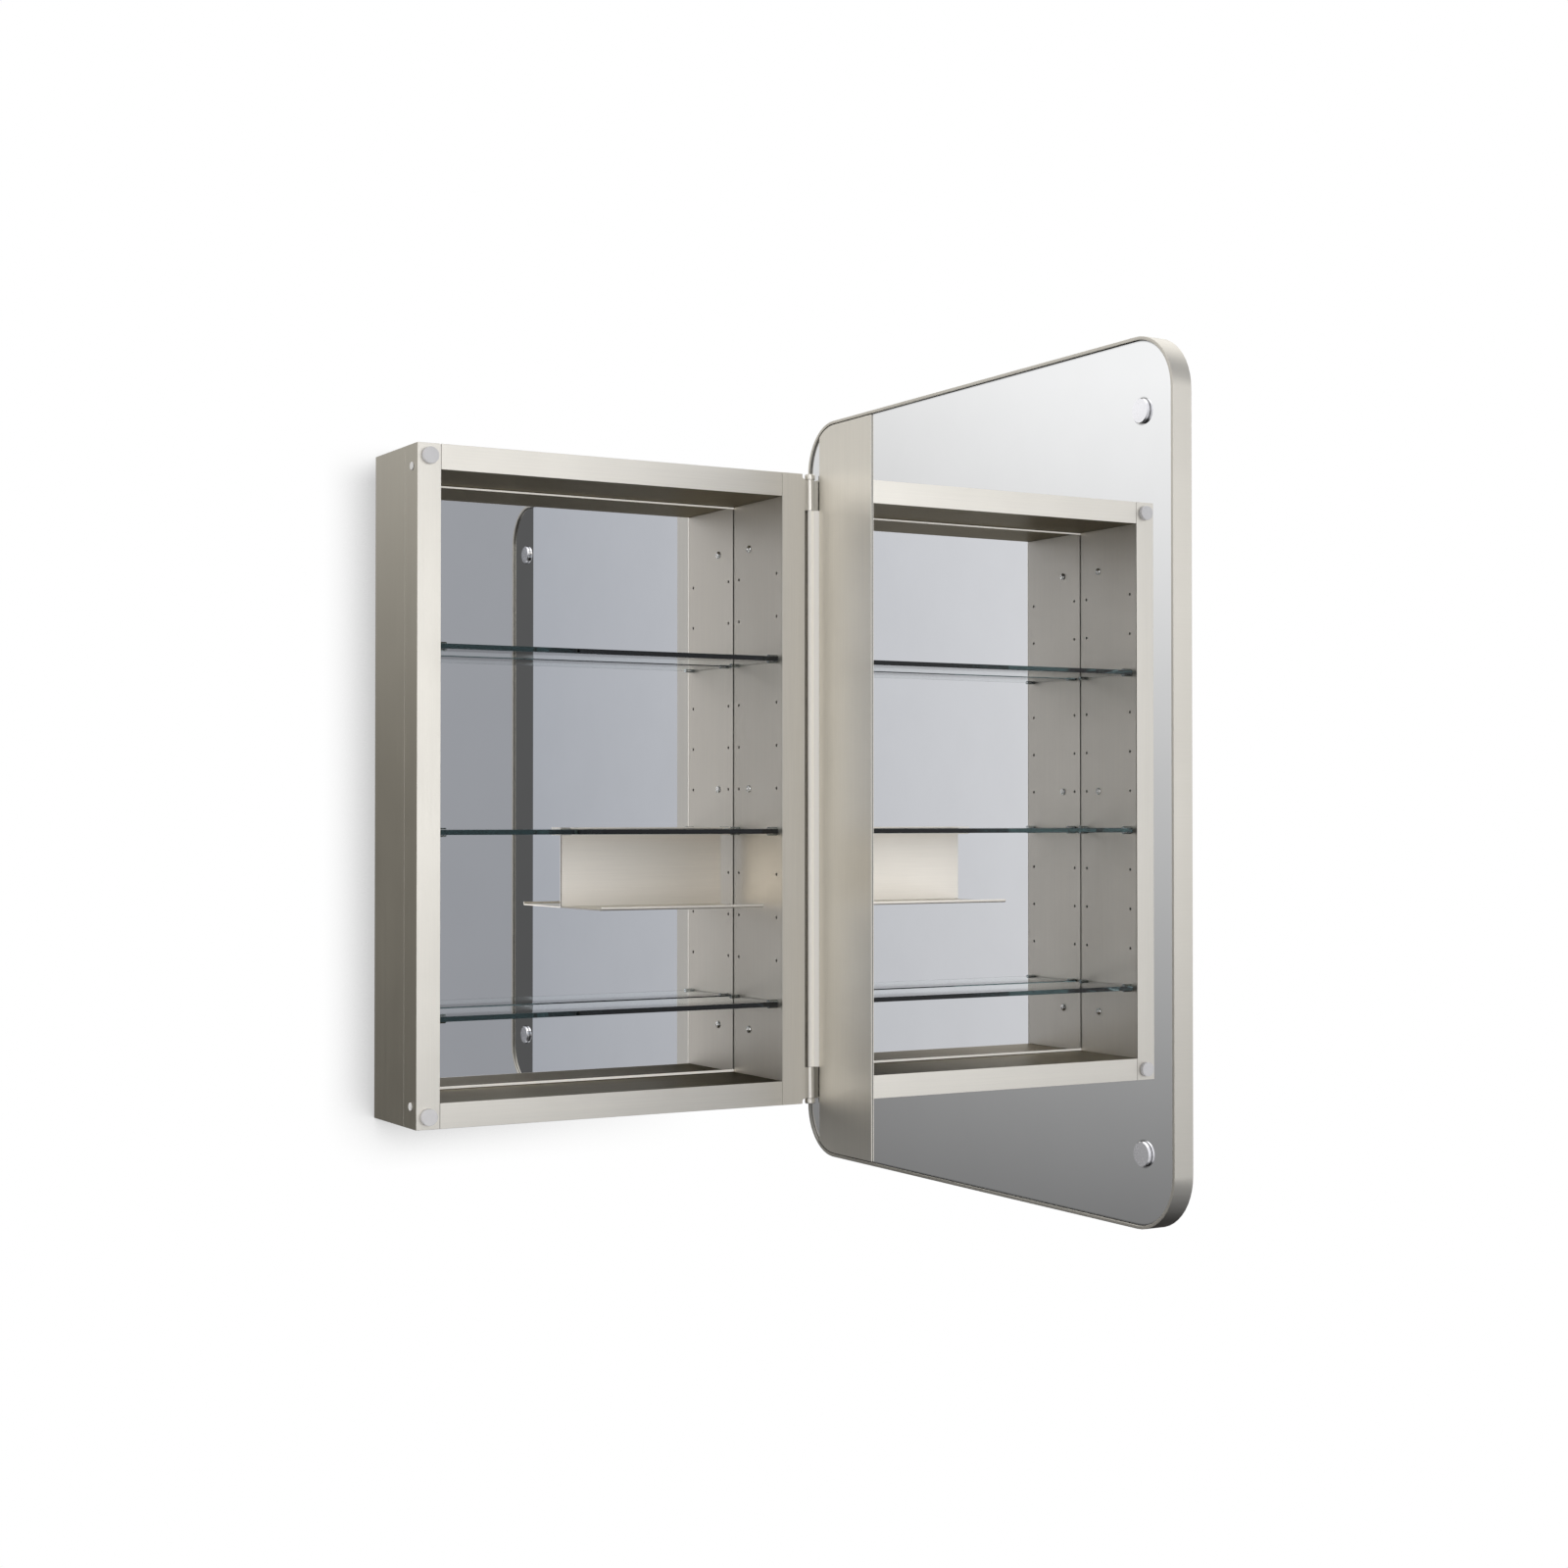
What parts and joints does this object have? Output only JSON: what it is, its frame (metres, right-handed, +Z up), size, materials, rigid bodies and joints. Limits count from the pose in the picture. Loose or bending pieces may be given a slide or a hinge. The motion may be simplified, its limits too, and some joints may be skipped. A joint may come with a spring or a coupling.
{
  "type": "medicine cabinet with mirror",
  "caption": "Shallow wall cabinet of brushed metal with a mirrored back, glass shelves on clips, a hook-on rack and a wide rounded mirror door on a full height side hinge.",
  "frame": {"origin": "centre of the cabinet's back face, on the wall", "axes": "+X to the viewer's right, along the wall; +Y out of the back, into the wall; +Z up. The cabinet's open front faces -Y, and the door is stored standing open at a right angle to it."},
  "size_m": [0.4644, 0.6939, 0.76],
  "materials": {
    "brushed_nickel": "satin brushed nickel on steel sheet",
    "inner_metal": "satin brushed steel, a little darker than the outside",
    "back_sheet": "plain galvanised sheet",
    "mirror": "silvered float glass",
    "clear_glass": "clear glass with polished green edges",
    "chrome": "polished chrome plate",
    "bumper_grey": "satin grey magnet face",
    "plug_grey": "pale grey plastic",
    "core_board": "hidden filler board"
  },
  "bodies": {
    "cabinet": {"back_mirror": "mirror", "back_panel": "back_sheet", "bottom_glass_shelf": "clear_glass", "bottom_rail": "brushed_nickel", "bottom_shelf_clip_left_back": "chrome", "bottom_shelf_clip_left_front": "chrome", "bottom_shelf_clip_right_back": "chrome", "bottom_shelf_clip_right_front": "chrome", "hinge_cabinet_leaf": "brushed_nickel", "hinge_cap_bottom": "brushed_nickel", "hinge_cap_top": "brushed_nickel", "hinge_pin": "brushed_nickel", "hinge_screw_1": "chrome", "hinge_screw_2": "chrome", "hinge_screw_3": "chrome", "hinge_screw_4": "chrome", "hinge_screw_5": "chrome", "inner_ceiling": "inner_metal", "inner_floor": "inner_metal", "left_inner_wall": "inner_metal", "left_stile": "brushed_nickel", "magnet_bumper_bottom": "bumper_grey", "magnet_bumper_top": "bumper_grey", "middle_glass_shelf": "clear_glass", "middle_shelf_clip_left_back": "chrome", "middle_shelf_clip_left_front": "chrome", "middle_shelf_clip_right_back": "chrome", "middle_shelf_clip_right_front": "chrome", "mirror_channel_bottom": "brushed_nickel", "mirror_channel_top": "brushed_nickel", "outer_shell": "brushed_nickel", "right_inner_wall": "inner_metal", "right_stile": "brushed_nickel", "side_plug_bottom": "plug_grey", "side_plug_top": "plug_grey", "side_screw_left_bottom": "chrome", "side_screw_left_middle": "chrome", "side_screw_left_top": "chrome", "side_screw_right_bottom": "chrome", "side_screw_right_middle": "chrome", "side_screw_right_top": "chrome", "top_glass_shelf": "clear_glass", "top_rail": "brushed_nickel", "top_shelf_clip_left_back": "chrome", "top_shelf_clip_left_front": "chrome", "top_shelf_clip_right_back": "chrome", "top_shelf_clip_right_front": "chrome"},
    "door": {"catch_disc_bottom": "chrome", "catch_disc_top": "chrome", "door_core": "core_board", "door_frame": "brushed_nickel", "door_front_mirror": "mirror", "door_inner_mirror": "mirror", "hinge_door_leaf": "brushed_nickel"},
    "rack": {"shelf_rack": "brushed_nickel"}
  },
  "joints": [
    {"name": "door_hinge", "type": "hinge", "parent": "cabinet", "child": "door", "pos_m": [0.2239, -0.11, 0], "axis": [0, 0, 1], "range_deg": [-90, 20]},
    {"name": "rack_slide", "type": "slide", "parent": "cabinet", "child": "rack", "axis": [1, 0, 0], "range_m": [-0.16, 0.005]}
  ]
}
